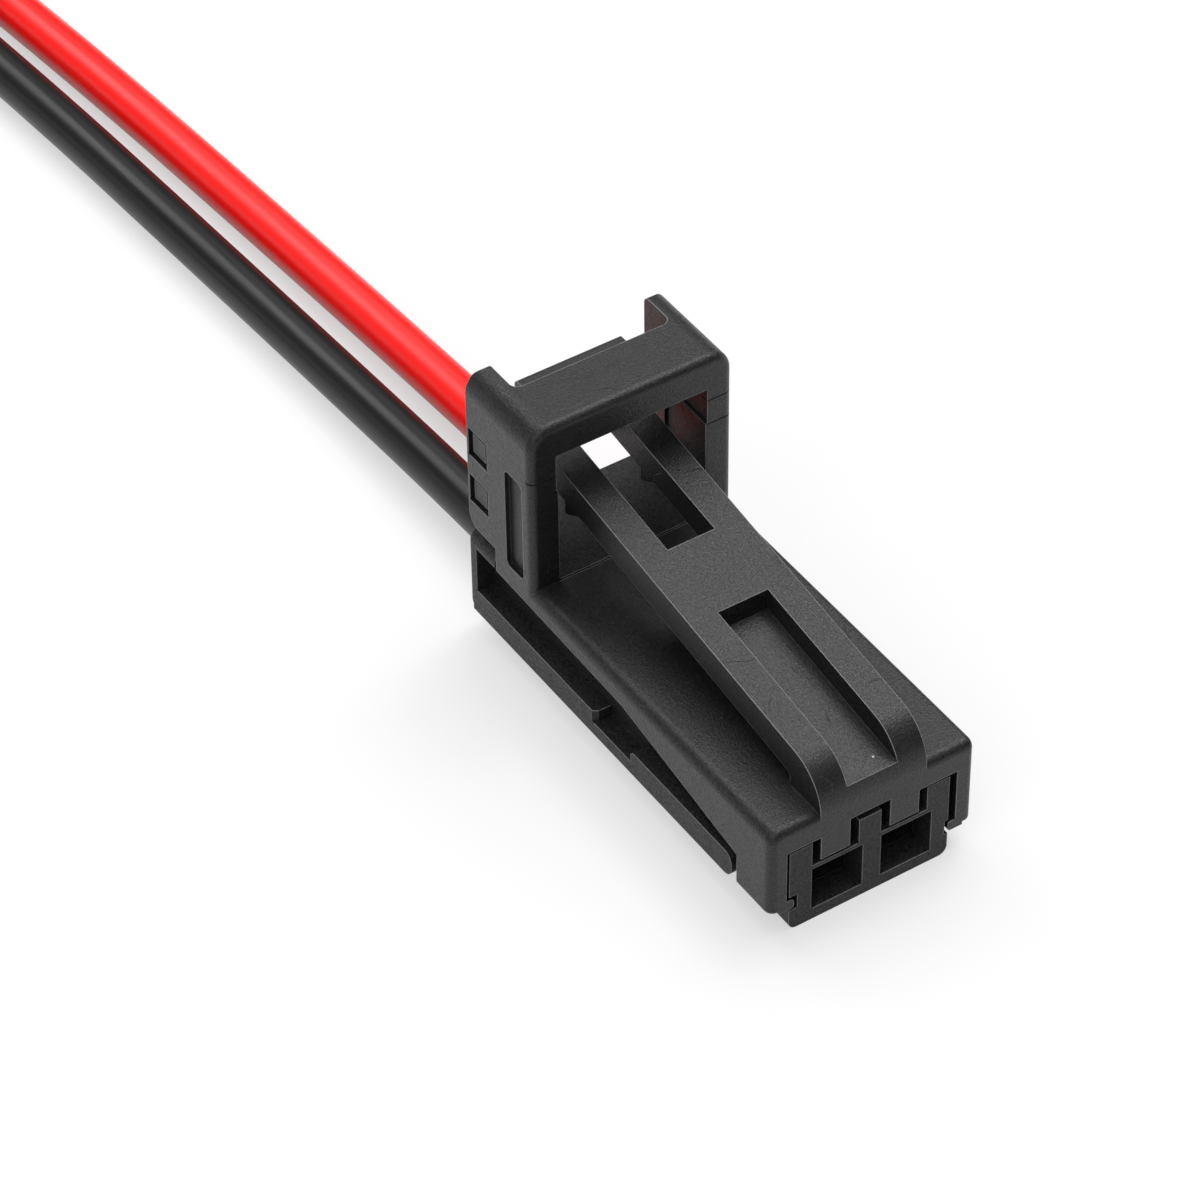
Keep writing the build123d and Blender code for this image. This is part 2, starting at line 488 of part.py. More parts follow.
def lead_line(route):
    """Corner points of a lead's centre line from the core's start to its end, and their radii."""
    side = math.copysign(LEAD_Y, route[0][1])
    corners = [Vector(at(back), y, z) for back, y, z in route]
    outside = [Vector(at(LENGTH), side, LEAD_EXIT_Z)] + corners
    rest = LEAD_LENGTH - sum((b - a).length for a, b in zip(outside, outside[1:]))
    heading = (corners[-1] - corners[-2]).normalized().rotate(Axis.Z, END_TURN_DEG)
    points = [Vector(at(CORE_START_BACK), side, LEAD_EXIT_Z)] + corners + [corners[-1] + heading * rest]
    radii = []
    for before, corner, after in zip(points, points[1:], points[2:]):
        turn = math.radians((corner - before).get_angle(after - corner))
        shorter = min((corner - before).length, (after - corner).length)
        radii.append(0.45 * shorter / math.tan(turn / 2))
    return points, radii


def lead_path(name, route, start_cut, end_cut):
    """Straight runs joined by tangent arcs, cut short by a length at each end."""
    points, radii = lead_line(route)
    points[0] += (points[1] - points[0]).normalized() * start_cut
    points[-1] += (points[-2] - points[-1]).normalized() * end_cut
    path = FilletPolyline(*points, radius=radii)
    print(name, "radii", [round(radius, 1) for radius in radii], "length", round(path.length, 2))
    return path


def tube_along(name, path, outer, inner=0.0):
    """Solid or hollow tube along a path, with its volume compared with section times length."""
    start = Plane(origin=path @ 0, z_dir=path % 0)
    section = start * Circle(outer / 2)
    area = math.pi * outer ** 2 / 4
    if inner > 0:
        section -= start * Circle(inner / 2)
        area -= math.pi * inner ** 2 / 4
    tube = sweep(section, path=path)
    print(name, "volume", round(tube.volume, 2), "expected", round(area * path.length, 2))
    return tube


def lead(name, route):
    """Insulation and stranded core of one lead."""
    jacket_path = lead_path(name + " jacket", route, JACKET_START_BACK - CORE_START_BACK, STRIP_LENGTH)
    core_path = lead_path(name + " core", route, 0, STRIP_LENGTH)
    jacket = tube_along(name + " jacket", jacket_path, LEAD_DIAMETER, CORE_DIAMETER + 2 * CRIMP_CLEARANCE)
    core = tube_along(name + " core", core_path, CORE_DIAMETER)
    # The stripped strands spread a little, so they take more room than inside the jacket
    end = Plane(origin=core_path @ 1, z_dir=core_path % 1)
    bare_end = extrude(end * Circle(BARE_END_DIAMETER / 2), amount=STRIP_LENGTH, dir=core_path % 1)
    tip = core_path @ 1 + (core_path % 1) * STRIP_LENGTH
    print(name, "bare end from", core_path @ 1, "to", tip, "heading", core_path % 1)
    return jacket, core + bare_end


def main():
    right_contact = contact()
    right_spring = contact_spring()
    red_jacket, red_core = lead("red", RED_ROUTE)
    black_jacket, black_core = lead("black", BLACK_ROUTE)
    parts = {
        "outer_shell": outer_shell(),
        "contact_carrier": contact_carrier(),
        "crimp_contact_right": right_contact,
        "crimp_contact_left": mirror(right_contact, about=Plane.XZ),
        "contact_spring_right": right_spring,
        "contact_spring_left": mirror(right_spring, about=Plane.XZ),
        "red_wire_insulation": red_jacket,
        "red_wire_core": red_core,
        "black_wire_insulation": black_jacket,
        "black_wire_core": black_core,
    }
    os.makedirs("parts", exist_ok=True)
    for name, solid in parts.items():
        export_step(solid, "parts/" + name + ".step")
        print(name, len(solid.solids()), "solid", round(solid.volume, 2))


main()
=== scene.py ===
import math
import random

import bpy
from bpy.props import FloatProperty, FloatVectorProperty, IntProperty, PointerProperty
from mathutils import Matrix, Vector


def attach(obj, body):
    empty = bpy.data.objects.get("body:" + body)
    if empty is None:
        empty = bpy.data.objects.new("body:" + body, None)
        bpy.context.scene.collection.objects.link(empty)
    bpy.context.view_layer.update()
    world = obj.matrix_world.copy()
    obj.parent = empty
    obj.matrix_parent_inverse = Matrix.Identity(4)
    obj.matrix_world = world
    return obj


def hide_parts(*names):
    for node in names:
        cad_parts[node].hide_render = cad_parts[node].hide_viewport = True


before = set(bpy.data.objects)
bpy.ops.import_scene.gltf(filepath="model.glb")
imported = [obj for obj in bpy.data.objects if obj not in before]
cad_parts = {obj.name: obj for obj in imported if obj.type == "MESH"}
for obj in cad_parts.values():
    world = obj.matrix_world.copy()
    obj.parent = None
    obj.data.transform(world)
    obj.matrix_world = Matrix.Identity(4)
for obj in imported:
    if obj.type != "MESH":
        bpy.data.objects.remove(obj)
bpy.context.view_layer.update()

bl_info = {
    "name": "Prewired connector plug",
    "version": (1, 0, 0),
    "blender": (4, 5, 0),
    "location": "3D View > Sidebar > Plug",
    "description": "Finishes, leads and studio stage of a two-way prewired connector plug",
    "category": "Object",
}

MM = 0.001

# Routes of the leads in metres: the CAD routes' points, some moved by up to 0.2 mm to follow the photo
CONTACT_SIDE = 0.002075
LEAD_EXIT_HEIGHT = 0.0023
LEAD_REST_HEIGHT = 0.00135
JACKET_START = -0.0051
CORE_START = -0.0001
RED_ROUTE = [(-0.0175, 0.0022, LEAD_EXIT_HEIGHT), (-0.0365, 0.00197, LEAD_REST_HEIGHT),
             (-0.0750, -0.00046, LEAD_REST_HEIGHT)]
RED_END = (-0.1131152, -0.0049978, LEAD_REST_HEIGHT)
BLACK_ROUTE = [(-0.0175, -CONTACT_SIDE, LEAD_EXIT_HEIGHT), (-0.0365, -0.00232, LEAD_REST_HEIGHT),
               (-0.0750, -0.00424, LEAD_REST_HEIGHT)]
BLACK_END = (-0.1131988, -0.0084972, LEAD_REST_HEIGHT)
STRIP_LENGTH = 0.006

# Strands of a core: turn of one ring against the next and wander at the end in radians, sizes in metres
RING_TURN = 0.35
STRAND_WANDER = 0.10
CUT_DIFFERENCE = 0.12 * MM
STRAND_SIDES = 6
STEPS_PER_LAY = 14
# Radius of a strand as a share of the distance from one strand's middle to the next
STRAND_FILL = 0.485
# The last stretch inside the jacket, and the share of the bare end over which the strands spread
MOUTH_LENGTH = 1 * MM
MOUTH_STEPS = 4
BARE_STEPS = 8
SPREAD_SHARE = 0.7

# Range that the values of Blender's noise mostly stay in
NOISE_LOW = 0.3
NOISE_HIGH = 0.7

# Parting lines across the front of the arch's legs: middles and half sizes in metres
SEAM_HALF = (0.0005, 0.00096, 0.000045)
ARCH_FRONT = -0.00755
ARCH_SEAMS = [(ARCH_FRONT, side, height)
              for side, height in ((-0.0053, 0.0141), (0.0053, 0.01465), (0.0053, 0.0131))]

# Mark of the moulding gate, on the floor of the lever's pocket near its front end
GATE_PLACE = (0.01245, 0.00066, 0.0080)
GATE_DIMPLE_RADIUS = 0.15 * MM
GATE_DOT_RADIUS = 0.07 * MM

# Camera of the photograph: place in metres, turns in degrees, lens and sensor in millimetres
CAMERA_PLACE = (0.15025, -0.10411, 0.17874)
CAMERA_AZIMUTH = 57.11
CAMERA_ELEVATION = 42.85
CAMERA_ROLL = -0.80
CAMERA_LENS = 150.0
SENSOR_WIDTH = 36.0
# Nearest distance that the camera shows, in metres
CAMERA_NEAR_CLIP = 0.01

# Soft boxes of the studio: name, place, width, height and power in watts, all facing one point
LAMP_TARGET = (0, 0, 0.006)
LAMPS = [("key_box", (-0.15, 0.26, 0.60), 0.60, 0.60, 2.7),
         ("key_core", (-0.10, 0.26, 0.60), 0.14, 0.14, 0.5),
         ("back_box", (-0.33, -0.05, 0.365), 0.20, 0.23, 0.46),
         ("side_box", (-0.29, -0.40, 0.13), 0.20, 0.12, 0.12),
         ("front_box", (0.25, -0.45, 0.40), 0.50, 0.50, 1.2)]

# Paper floor and surroundings: half the sheet's width in metres, levels of light, and the power
# by which the sky darkens from overhead to the horizon
FLOOR_HALF = 2.0
PAPER_GLOW = 0.55
HORIZON_LEVEL = 0.04
ZENITH_LEVEL = 0.95
SKY_FALL = 2.0


def linear(code):
    """Linear red, green and blue of an sRGB hex colour."""
    values = []
    for start in (1, 3, 5):
        level = int(code[start:start + 2], 16) / 255
        values.append(level / 12.92 if level <= 0.04045 else ((level + 0.055) / 1.055) ** 2.4)
    return tuple(values)


class PlugFinishes(bpy.types.PropertyGroup):
    """Colours and grain of the plug's materials."""

    shell_colour: FloatVectorProperty(
        name="Shell", description="Black polyamide of the outer shell", subtype="COLOR",
        default=linear("#1e1e1f"), min=0, max=1)
    carrier_colour: FloatVectorProperty(
        name="Carrier", description="Black polyamide of the contact carrier", subtype="COLOR",
        default=linear("#292929"), min=0, max=1)
    red_colour: FloatVectorProperty(
        name="Red jacket", description="Extruded red vinyl", subtype="COLOR",
        default=linear("#ff0f0a"), min=0, max=1)
    black_colour: FloatVectorProperty(
        name="Black jacket", description="Extruded black vinyl", subtype="COLOR",
        default=linear("#131314"), min=0, max=1)
    grain: FloatProperty(
        name="Mould grain", description="Width of one pit of the spark-eroded mould texture",
        subtype="DISTANCE", unit="LENGTH", default=0.11 * MM, min=0.02 * MM, max=1 * MM)
    edge_round: FloatProperty(
        name="Edge rounding", description="Radius that a moulded edge shows in the light",
        subtype="DISTANCE", unit="LENGTH", default=0.09 * MM, min=0.0, max=1 * MM)


class PlugLeads(bpy.types.PropertyGroup):
    """Sizes of the two leads."""

    jacket_diameter: FloatProperty(
        name="Jacket diameter", description="Outer diameter of a lead", subtype="DISTANCE",
        unit="LENGTH", default=2.7 * MM, min=0.5 * MM, max=10 * MM)
    core_diameter: FloatProperty(
        name="Core diameter", description="Diameter over the bunched strands", subtype="DISTANCE",
        unit="LENGTH", default=1.9 * MM, min=0.2 * MM, max=8 * MM)
    bare_diameter: FloatProperty(
        name="Bare end diameter", description="Diameter over the strands where they spread at the end",
        subtype="DISTANCE", unit="LENGTH", default=2.24 * MM, min=0.2 * MM, max=8 * MM)
    strand_rings: IntProperty(
        name="Strand rings", description="Rings of strands round the middle strand",
        default=3, min=1, max=5)
    lay_length: FloatProperty(
        name="Lay length", description="Length of one turn of the strands", subtype="DISTANCE",
        unit="LENGTH", default=22 * MM, min=5 * MM, max=100 * MM)


def node(tree, kind, links=None, **settings):
    """Adds a node with its settings, its socket values and its links."""
    made = tree.nodes.new(kind)
    for key, value in settings.items():
        setattr(made, key, value)
    for socket, source in (links or {}).items():
        if isinstance(source, bpy.types.NodeSocket):
            tree.links.new(source, made.inputs[socket])
        else:
            made.inputs[socket].default_value = source
    return made


def new_material(name):
    """Empty material with its tree and output."""
    material = bpy.data.materials.new(name)
    material.use_nodes = True
    tree = material.node_tree
    tree.nodes.clear()
    output = node(tree, "ShaderNodeOutputMaterial")
    return material, tree, output


def box_mask(tree, place, middle, half):
    """1 inside a small box given by its middle and half sizes, 0 outside it."""
    shifted = node(tree, "ShaderNodeVectorMath", {0: place, 1: middle}, operation="SUBTRACT")
    scaled = node(tree, "ShaderNodeVectorMath", {0: shifted.outputs[0], 1: half}, operation="DIVIDE")
    flat = node(tree, "ShaderNodeVectorMath", {0: scaled.outputs[0]}, operation="ABSOLUTE")
    parts = node(tree, "ShaderNodeSeparateXYZ", {0: flat.outputs[0]})
    across = node(tree, "ShaderNodeMath", {0: parts.outputs["X"], 1: parts.outputs["Y"]},
                  operation="MAXIMUM")
    widest = node(tree, "ShaderNodeMath", {0: across.outputs[0], 1: parts.outputs["Z"]},
                  operation="MAXIMUM")
    inside = node(tree, "ShaderNodeMath", {0: widest.outputs[0], 1: 1.0}, operation="LESS_THAN")
    return inside.outputs[0]


def hair_marks(tree, place):
    """Sparse hairlines, the scuffs and flow marks that handling and moulding leave on the skin."""
    # Real scuffs are about 0.02 mm wide. A pixel of the render is 0.05 mm, so these are drawn wider,
    # fading out at 0.08 mm over all.
    cell = 4 * MM
    half_width = 0.016 * MM
    faded_half_width = 0.040 * MM
    bend_length = 1.5 * MM
    bend_size = 1.2 * MM
    patch_size = 2.5 * MM
    patch_start = 0.56
    patch_full = 0.62
    warp = node(tree, "ShaderNodeTexNoise", {"Vector": place, "Scale": 1 / bend_length, "Detail": 2.0})
    bent = node(tree, "ShaderNodeVectorMath", {0: warp.outputs["Color"], 1: (bend_size,) * 3, 2: place},
                operation="MULTIPLY_ADD")
    cells = node(tree, "ShaderNodeTexVoronoi", {"Vector": bent.outputs[0], "Scale": 1 / cell},
                 feature="DISTANCE_TO_EDGE")
    lines = node(tree, "ShaderNodeMapRange", {"Value": cells.outputs["Distance"],
                                              "From Min": half_width / cell,
                                              "From Max": faded_half_width / cell,
                                              "To Min": 1.0, "To Max": 0.0})
    patch = node(tree, "ShaderNodeTexNoise", {"Vector": place, "Scale": 1 / patch_size, "Detail": 1.0})
    few = node(tree, "ShaderNodeMapRange", {"Value": patch.outputs["Fac"], "From Min": patch_start,
                                            "From Max": patch_full})
    marks = node(tree, "ShaderNodeMath", {0: lines.outputs[0], 1: few.outputs[0]}, operation="MULTIPLY")
    return marks.outputs[0]


def painted_edge_highlights(tree, soft_edge, edge_round, edge_highlight_strength):
    """Painted highlight on the outward edges, carried in the colour: 0 on faces and in inner corners, up to
    the given strength.
    """
    # Cosines of the bend between which an edge fades in, and openness that tells it from a corner
    flat_bend = 0.99
    full_bend = 0.88
    corner_open = 0.75
    edge_open = 0.95
    reach = 3 * edge_round
    face_way = node(tree, "ShaderNodeNewGeometry")
    bend = node(tree, "ShaderNodeVectorMath", {0: soft_edge, 1: face_way.outputs["Normal"]},
                operation="DOT_PRODUCT")
    open_air = node(tree, "ShaderNodeAmbientOcclusion", {"Distance": reach}, samples=8)
    rim = node(tree, "ShaderNodeMapRange", {"Value": bend.outputs["Value"], "From Min": flat_bend,
                                            "From Max": full_bend, "To Min": 0.0, "To Max": 1.0})
    outward = node(tree, "ShaderNodeMapRange", {"Value": open_air.outputs["AO"],
                                                "From Min": corner_open, "From Max": edge_open,
                                                "To Min": 0.0, "To Max": edge_highlight_strength})
    pale = node(tree, "ShaderNodeMath", {0: rim.outputs[0], 1: outward.outputs[0]}, operation="MULTIPLY")
    return pale.outputs[0]


def gate_mark(tree, place, gate, shade):
    """The shade value with the mark of the moulding gate: a pale dot inside a small dimple drawn as painted
    shade.
    """
    # The dimple's darkness is painted shade, as the surface has no hollow there
    dimple_painted_shade = -0.6
    dot_paler = 30.0
    away = node(tree, "ShaderNodeVectorMath", {0: place, 1: gate}, operation="DISTANCE")
    dimple = node(tree, "ShaderNodeMath", {0: away.outputs["Value"], 1: GATE_DIMPLE_RADIUS},
                  operation="LESS_THAN")
    dot = node(tree, "ShaderNodeMath", {0: away.outputs["Value"], 1: GATE_DOT_RADIUS},
               operation="LESS_THAN")
    dark = node(tree, "ShaderNodeMath", {0: dimple.outputs[0], 1: dimple_painted_shade, 2: shade},
                operation="MULTIPLY_ADD")
    dotted_shade = node(tree, "ShaderNodeMath", {0: dot.outputs[0], 1: dot_paler, 2: dark.outputs[0]},
                operation="MULTIPLY_ADD")
    return dotted_shade.outputs[0]


def moulded_polyamide(name, colour, look, roughness, shine, edge_highlight_strength, seams=(), gate=None):
    """Black glass-filled polyamide from a spark-eroded mould: a fine pitted skin with soft edges."""
    # To the eye it is a dull, speckled near-black. Real pits are about 0.03 mm wide, finer than a
    # pixel of 0.05 mm, so the grain is drawn coarser than it is.
    pit_dark = 0.1
    pit_pale = 1.9
    pit_gloss = 0.08
    flow_size = 4 * MM
    flow_dark = 0.9
    flow_pale = 1.1
    hair_paler = 0.35
    hair_height = 0.5
    seam_painted_shade = -1.5
    seam_depth = -2.0
    seam_duller = 0.6
    darkest = 0.05
    material, tree, output = new_material(name)
    place = node(tree, "ShaderNodeTexCoord").outputs["Object"]
    pits = node(tree, "ShaderNodeTexNoise", {"Vector": place, "Scale": 1 / look.grain, "Detail": 2.0,
                                             "Roughness": 0.6, "Distortion": 0.6})
    # Slow variation of the skin, where the melt froze a little earlier or later
    flow = node(tree, "ShaderNodeTexNoise", {"Vector": place, "Scale": 1 / flow_size, "Detail": 4.0})
    speckle = node(tree, "ShaderNodeMapRange", {"Value": pits.outputs["Fac"], "From Min": NOISE_LOW,
                                                "From Max": NOISE_HIGH, "To Min": pit_dark,
                                                "To Max": pit_pale})
    drift = node(tree, "ShaderNodeMapRange", {"Value": flow.outputs["Fac"], "From Min": NOISE_LOW,
                                              "From Max": NOISE_HIGH, "To Min": flow_dark,
                                              "To Max": flow_pale})
    skin_shade = node(tree, "ShaderNodeMath", {0: speckle.outputs[0], 1: drift.outputs[0]},
                      operation="MULTIPLY")
    # Outward edges get a painted highlight: pale lines in the colour, where their small rounding would
    # catch the light. The colour carries the lines, because the exported material keeps its pattern.
    soft_edge = node(tree, "ShaderNodeBevel", {"Radius": look.edge_round}, samples=8).outputs[0]
    pale = painted_edge_highlights(tree, soft_edge, look.edge_round, edge_highlight_strength)
    edged = node(tree, "ShaderNodeMath", {0: skin_shade.outputs[0], 1: pale}, operation="ADD")
    hairs = hair_marks(tree, place)
    shade = node(tree, "ShaderNodeMath", {0: hairs, 1: hair_paler, 2: edged.outputs[0]},
                 operation="MULTIPLY_ADD").outputs[0]
    height = node(tree, "ShaderNodeMath", {0: hairs, 1: hair_height, 2: pits.outputs["Fac"]},
                  operation="MULTIPLY_ADD").outputs[0]
    dull = node(tree, "ShaderNodeMapRange", {"Value": pits.outputs["Fac"], "From Min": NOISE_LOW,
                                             "From Max": NOISE_HIGH, "To Min": roughness + pit_gloss,
                                             "To Max": roughness - pit_gloss}).outputs[0]
    # Parting lines of the mould's slides: hair-thin, dull grooves, darkened with painted shade
    for middle in seams:
        groove = box_mask(tree, place, middle, SEAM_HALF)
        shade = node(tree, "ShaderNodeMath", {0: groove, 1: seam_painted_shade, 2: shade},
                     operation="MULTIPLY_ADD").outputs[0]
        height = node(tree, "ShaderNodeMath", {0: groove, 1: seam_depth, 2: height},
                      operation="MULTIPLY_ADD").outputs[0]
        dull = node(tree, "ShaderNodeMath", {0: groove, 1: seam_duller, 2: dull},
                    operation="MULTIPLY_ADD").outputs[0]
    shade = node(tree, "ShaderNodeMath", {0: shade, 1: darkest}, operation="MAXIMUM").outputs[0]
    if gate:
        shade = gate_mark(tree, place, gate, shade)
    tint = node(tree, "ShaderNodeVectorMath", {0: colour, 3: shade}, operation="SCALE")
    bump = node(tree, "ShaderNodeBump", {"Strength": 0.65, "Distance": 0.05 * MM, "Height": height,
                                         "Normal": soft_edge})
    skin = node(tree, "ShaderNodeBsdfPrincipled", {"Base Color": tint.outputs[0],
                                                   "Roughness": dull, "IOR": 1.53,
                                                   "Specular IOR Level": shine,
                                                   "Normal": bump.outputs[0]})
    tree.links.new(skin.outputs[0], output.inputs[0])
    return material


def extruded_vinyl(name, colour, roughness, shine):
    """Plasticised vinyl drawn over the core: smooth and glossy, with faint marks of the die."""
    # To the eye it is one long highlight that wavers a little, as the wall's thickness does
    wave_length = 60 * MM
    wave_width = 0.5 * MM
    wave_gloss = 0.05
    material, tree, output = new_material(name)
    place = node(tree, "ShaderNodeTexCoord").outputs["Object"]
    drawn = node(tree, "ShaderNodeMapping", {"Vector": place, "Scale": (1 / wave_length, 1 / wave_width,
                                                                       1 / wave_width)})
    wave = node(tree, "ShaderNodeTexNoise", {"Vector": drawn.outputs[0], "Scale": 1.0, "Detail": 2.0})
    dull = node(tree, "ShaderNodeMapRange", {"Value": wave.outputs["Fac"], "From Min": NOISE_LOW,
                                             "From Max": NOISE_HIGH, "To Min": roughness - wave_gloss,
                                             "To Max": roughness + wave_gloss})
    bump = node(tree, "ShaderNodeBump", {"Strength": 0.05, "Distance": 0.02 * MM,
                                         "Height": wave.outputs["Fac"]})
    skin = node(tree, "ShaderNodeBsdfPrincipled", {"Base Color": (*colour, 1),
                                                   "Roughness": dull.outputs[0], "IOR": 1.53,
                                                   "Specular IOR Level": shine,
                                                   "Normal": bump.outputs[0]})
    tree.links.new(skin.outputs[0], output.inputs[0])
    return material


def plated_metal(name, colour, roughness, streak):
    """Rolled and plated strip: a bright metal with fine streaks along the rolling direction."""
    # To the eye the streaks draw the highlight out. Real ones are about 0.01 mm apart, too fine for
    # the render, so they are drawn some times coarser.
    streak_length = 3 * MM
    streak_gloss = 0.08
    streak_dullness = 0.12
    material, tree, output = new_material(name)
    place = node(tree, "ShaderNodeTexCoord").outputs["Object"]
    rolled = node(tree, "ShaderNodeMapping", {"Vector": place, "Scale": (1 / streak_length, 1 / streak,
                                                                        1 / streak)})
    lines = node(tree, "ShaderNodeTexNoise", {"Vector": rolled.outputs[0], "Scale": 1.0,
                                              "Detail": 3.0})
    dull = node(tree, "ShaderNodeMapRange", {"Value": lines.outputs["Fac"], "From Min": NOISE_LOW,
                                             "From Max": NOISE_HIGH, "To Min": roughness - streak_gloss,
                                             "To Max": roughness + streak_dullness})
    bump = node(tree, "ShaderNodeBump", {"Strength": 0.15, "Distance": 0.01 * MM,
                                         "Height": lines.outputs["Fac"]})
    skin = node(tree, "ShaderNodeBsdfPrincipled", {"Base Color": (*colour, 1), "Metallic": 1.0,
                                                   "Roughness": dull.outputs[0],
                                                   "Normal": bump.outputs[0]})
    tree.links.new(skin.outputs[0], output.inputs[0])
    return material


def dress(names, material):
    """Gives CAD nodes a material."""
    for name in names:
        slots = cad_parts[name].data.materials
        slots.clear()
        slots.append(material)


class PLUG_OT_housing(bpy.types.Operator):
    """Give the outer shell and the contact carrier their moulded polyamide"""

    bl_idname = "plug.housing"
    bl_label = "Finish the housing"

    def execute(self, context):
        look = context.scene.plug_finishes
        shell = moulded_polyamide("shell_polyamide_moulded", tuple(look.shell_colour), look,
                                  roughness=0.35, shine=0.33, edge_highlight_strength=24.0,
                                  seams=ARCH_SEAMS, gate=GATE_PLACE)
        dress(["outer_shell"], shell)
        carrier = moulded_polyamide("carrier_polyamide_moulded", tuple(look.carrier_colour), look,
                                    roughness=0.40, shine=0.17, edge_highlight_strength=12.0)
        dress(["contact_carrier"], carrier)
        return {"FINISHED"}


class PLUG_OT_contacts(bpy.types.Operator):
    """Give the contacts and their springs their plated and rolled strip"""

    bl_idname = "plug.contacts"
    bl_label = "Finish the contacts"

    def execute(self, context):
        plated = plated_metal("contact_strip_tin_plated", linear("#c9c6bf"), roughness=0.34,
                              streak=0.06 * MM)
        dress(["crimp_contact_left", "crimp_contact_right"], plated)
        spring = plated_metal("spring_strip_rolled_stainless", linear("#b9b9ba"), roughness=0.30,
                              streak=0.04 * MM)
        dress(["contact_spring_left", "contact_spring_right"], spring)
        return {"FINISHED"}


def route_curve(name, points, diameter):
    """Round cord along one smooth line whose control points are the route's points."""
    data = bpy.data.curves.new(name, "CURVE")
    data.dimensions = "3D"
    spline = data.splines.new("NURBS")
    spline.points.add(len(points) - 1)
    for point, place in zip(spline.points, points):
        point.co = (*place, 1)
    spline.order_u = 3
    spline.use_endpoint_u = True
    spline.resolution_u = 16
    data.bevel_depth = diameter / 2
    data.bevel_resolution = 8
    data.use_fill_caps = diameter > 0
    made = bpy.data.objects.new(name, data)
    bpy.context.scene.collection.objects.link(made)
    return made


def towards(start, end, distance):
    """The point this far from start on the way to end."""
    start = Vector(start)
    return start + (Vector(end) - start).normalized() * distance


def line_points(points):
    """Points along the smooth line of a route, with their distances from its start."""
    guide = route_curve("guide_line", points, 0)
    mesh = bpy.data.meshes.new_from_object(guide)
    places = [vertex.co.copy() for vertex in mesh.vertices]
    bpy.data.meshes.remove(mesh)
    bpy.data.objects.remove(guide)
    distances = [0.0]
    for before, after in zip(places, places[1:]):
        distances.append(distances[-1] + (after - before).length)
    return places, distances


def along(places, distances, distance):
    """Place and direction at a distance along a line of points."""
    index = 0
    while index < len(distances) - 2 and distances[index + 1] < distance:
        index += 1
    span = distances[index + 1] - distances[index]
    part = (distance - distances[index]) / span
    before, after = places[index], places[index + 1]
    return before.lerp(after, part), (after - before).normalized()


def strand_seats(rings, pitch):
    """Radius and angle of each strand in the core's section. Each ring has six more than the one inside."""
    seats = [(0.0, 0.0)]
    for ring in range(1, rings + 1):
        for step in range(6 * ring):
            angle = 2 * math.pi * step / (6 * ring) + ring * RING_TURN
            seats.append((ring * pitch, angle))
    return seats


def strand_steps(length, lay_length):
    """Distances along a core at which a strand has a section, closer together near its bare end."""
    opening = length - STRIP_LENGTH
    count = int(length / (lay_length / STEPS_PER_LAY))
    steps = [length * index / count for index in range(count + 1)]
    steps = [step for step in steps if step < opening - MOUTH_LENGTH]
    steps += [opening - MOUTH_LENGTH + MOUTH_LENGTH * index / MOUTH_STEPS
              for index in range(MOUTH_STEPS + 1)]
    steps += [opening + STRIP_LENGTH * index / BARE_STEPS for index in range(1, BARE_STEPS + 1)]
    return steps


def strand_bundle(name, points, sizes, material):
    """Twisted strands of one core, as tubes that wind round its smooth line and spread at the bare end."""
    places, distances = line_points(points)
    length = distances[-1]
    opening = length - STRIP_LENGTH
    pitch = sizes.core_diameter / (2 * sizes.strand_rings + 1)
    spread = (sizes.bare_diameter - pitch) / (sizes.core_diameter - pitch) - 1
    steps = strand_steps(length, sizes.lay_length)
    luck = random.Random(7)
    vertices = []
    faces = []
    for radius, angle in strand_seats(sizes.strand_rings, pitch):
        first = len(vertices)
        # The cut ends differ a little in length, and each strand bends its own way as it spreads
        short = luck.uniform(0.0, CUT_DIFFERENCE)
        wander = luck.uniform(-STRAND_WANDER, STRAND_WANDER)
        for number, step in enumerate(steps):
            distance = step - (short if number == len(steps) - 1 else 0)
            middle, heading = along(places, distances, distance)
            side = heading.cross(Vector((0, 0, 1))).normalized()
            up = side.cross(heading)
            # The spread eases in behind the jacket's end and out again before the cut
            share = max(0.0, min(1.0, (distance - opening) / (SPREAD_SHARE * STRIP_LENGTH)))
            share = share * share * (3 - 2 * share)
            reach = radius * (1 + spread * share)
            turn = angle + 2 * math.pi * distance / sizes.lay_length + wander * share
            seat = middle + side * (reach * math.cos(turn)) + up * (reach * math.sin(turn))
            for corner in range(STRAND_SIDES):
                way = 2 * math.pi * corner / STRAND_SIDES + turn
                outward = side * math.cos(way) + up * math.sin(way)
                vertices.append(seat + outward * pitch * STRAND_FILL)
        for index in range(len(steps) - 1):
            low = first + index * STRAND_SIDES
            high = low + STRAND_SIDES
            for corner in range(STRAND_SIDES):
                after = (corner + 1) % STRAND_SIDES
                faces.append((low + corner, low + after, high + after, high + corner))
        last = first + (len(steps) - 1) * STRAND_SIDES
        faces.append(tuple(first + corner for corner in range(STRAND_SIDES))[::-1])
        faces.append(tuple(last + corner for corner in range(STRAND_SIDES)))
    mesh = bpy.data.meshes.new(name)
    mesh.from_pydata(vertices, [], faces)
    mesh.materials.append(material)
    # The sides of a strand are smooth and its cut ends are flat
    for face in mesh.polygons:
        face.use_smooth = len(face.vertices) == 4
    made = bpy.data.objects.new(name, mesh)
    bpy.context.scene.collection.objects.link(made)
    return made


